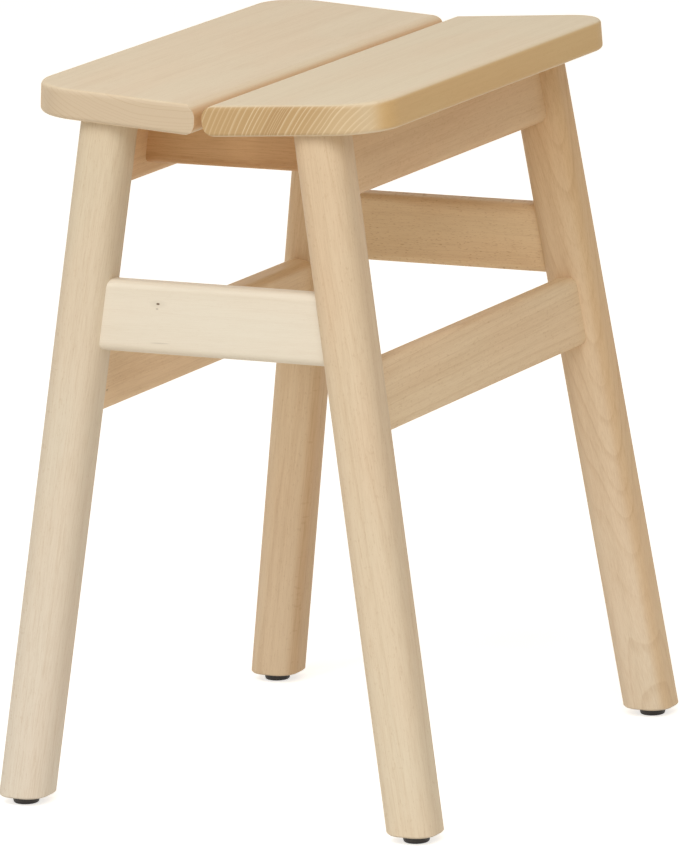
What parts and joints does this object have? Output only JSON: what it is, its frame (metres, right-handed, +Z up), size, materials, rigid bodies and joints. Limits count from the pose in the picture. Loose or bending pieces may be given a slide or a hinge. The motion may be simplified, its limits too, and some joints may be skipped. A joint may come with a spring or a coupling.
{
  "type": "stacking stool",
  "caption": "Beech stacking stool with a slotted board seat that dips to the middle, on splayed rounded legs with stretchers.",
  "frame": {"origin": "on the floor, under the middle of the seat", "axes": "+Z up; +Y along the seat boards from the front to the rear; +X across the boards to the right"},
  "size_m": [0.2986, 0.3728, 0.45],
  "materials": {
    "seat_beech": "clear matt lacquer on pale beech, grain along the boards",
    "leg_beech": "clear matt lacquer on pale beech, grain along the leg",
    "rail_beech": "clear matt lacquer on pale beech, grain along the rail",
    "dowel_beech": "bare beech",
    "glide_plastic": "dark brown moulded plastic",
    "fastener_steel": "zinc-plated steel"
  },
  "bodies": {
    "root": {"seat_board_left": "seat_beech", "seat_board_right": "seat_beech", "leg_front_left": "leg_beech", "leg_front_right": "leg_beech", "leg_rear_left": "leg_beech", "leg_rear_right": "leg_beech", "apron_left": "rail_beech", "apron_right": "rail_beech", "batten_front": "rail_beech", "batten_rear": "rail_beech", "stretcher_front": "rail_beech", "stretcher_rear": "rail_beech", "stretcher_left": "rail_beech", "stretcher_right": "rail_beech", "glide_front_left": "glide_plastic", "glide_front_right": "glide_plastic", "glide_rear_left": "glide_plastic", "glide_rear_right": "glide_plastic", "glide_nails": "fastener_steel", "seat_screws_front": "fastener_steel", "seat_screws_rear": "fastener_steel", "dowels_stretcher_front": "dowel_beech", "dowels_stretcher_rear": "dowel_beech", "dowels_stretcher_left": "dowel_beech", "dowels_stretcher_right": "dowel_beech", "dowels_apron_left": "dowel_beech", "dowels_apron_right": "dowel_beech", "dowels_batten_front": "dowel_beech", "dowels_batten_rear": "dowel_beech"}
  },
  "joints": []
}
